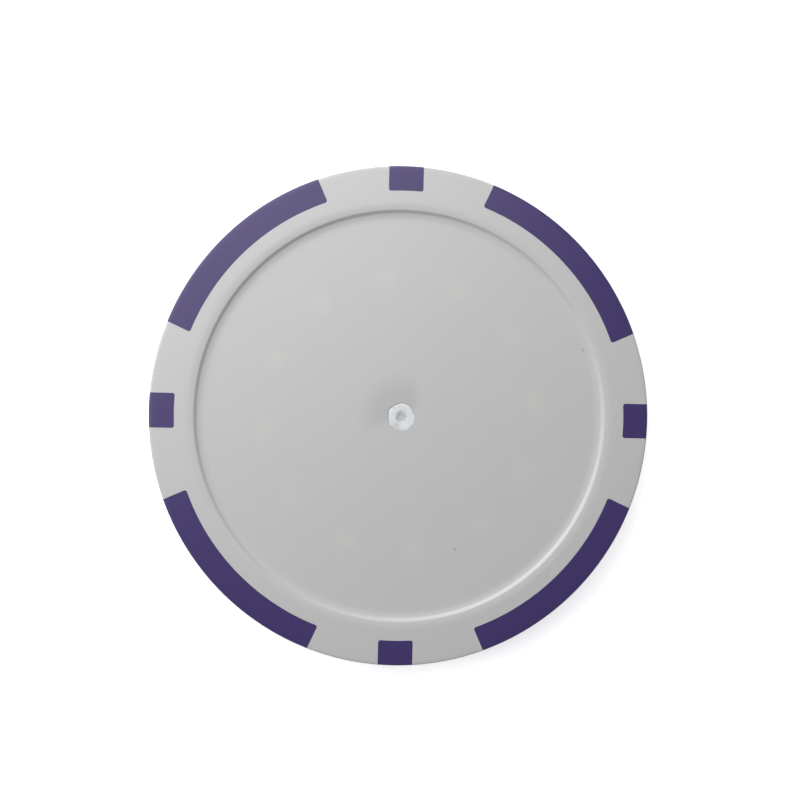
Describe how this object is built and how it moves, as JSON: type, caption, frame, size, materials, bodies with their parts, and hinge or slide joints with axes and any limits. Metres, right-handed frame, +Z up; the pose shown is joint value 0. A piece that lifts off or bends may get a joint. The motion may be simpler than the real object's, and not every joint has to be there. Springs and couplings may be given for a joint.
{
  "type": "poker chip",
  "caption": "Blank weighted poker chip: a pale moulded disc with a shallow label recess on each face, purple inserts round its edge and a steel disc inside.",
  "frame": {"origin": "middle of the chip on the plane that it lies on, at the underside of the rim", "axes": "+Z up along the chip's axis, out of the face with the moulding gate; +X and +Y through two neighbouring short inserts"},
  "size_m": [0.039, 0.039, 0.0033],
  "materials": {
    "white_abs": "satin moulded ABS, greyish white",
    "purple_abs": "satin moulded ABS, dark purple",
    "steel": "punched bright sheet steel"
  },
  "bodies": {
    "root": {"body": "white_abs", "weight_slug": "steel", "long_insert_1": "purple_abs", "long_insert_2": "purple_abs", "long_insert_3": "purple_abs", "long_insert_4": "purple_abs", "short_insert_1": "purple_abs", "short_insert_2": "purple_abs", "short_insert_3": "purple_abs", "short_insert_4": "purple_abs"}
  },
  "joints": []
}
